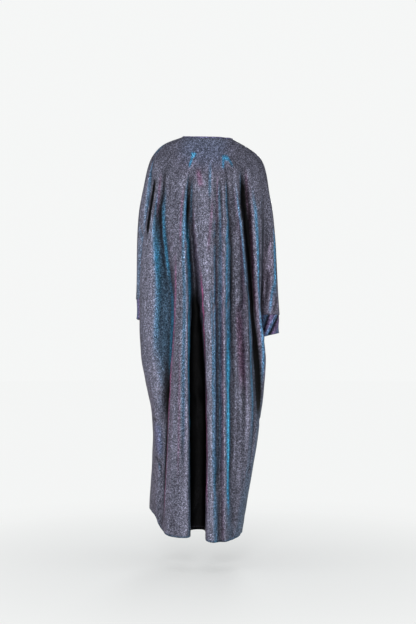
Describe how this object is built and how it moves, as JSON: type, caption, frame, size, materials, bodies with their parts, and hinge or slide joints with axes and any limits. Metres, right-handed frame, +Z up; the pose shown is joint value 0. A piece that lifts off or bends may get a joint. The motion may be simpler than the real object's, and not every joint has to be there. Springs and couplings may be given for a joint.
{
  "type": "abaya",
  "caption": "Loose batwing abaya in shimmering cloth, worn form, hanging from the shoulders in deep uneven folds, with the sleeves down and narrow cuffs.",
  "frame": {"origin": "between the shoulders at the height of the nape, where the wearer's shoulders hold the garment", "axes": "+Z up, +Y towards the garment's back, +X towards the wearer's left"},
  "size_m": [0.521, 0.3744, 1.4246],
  "materials": {
    "shimmer_cloth": "grey-violet cloth woven with metallic yarn that turns blue and rose in the folds",
    "cuff_cloth": "the same cloth, doubled into a band"
  },
  "bodies": {
    "root": {"back": "shimmer_cloth", "front": "shimmer_cloth", "cuff_left": "cuff_cloth", "cuff_right": "cuff_cloth"}
  },
  "joints": []
}
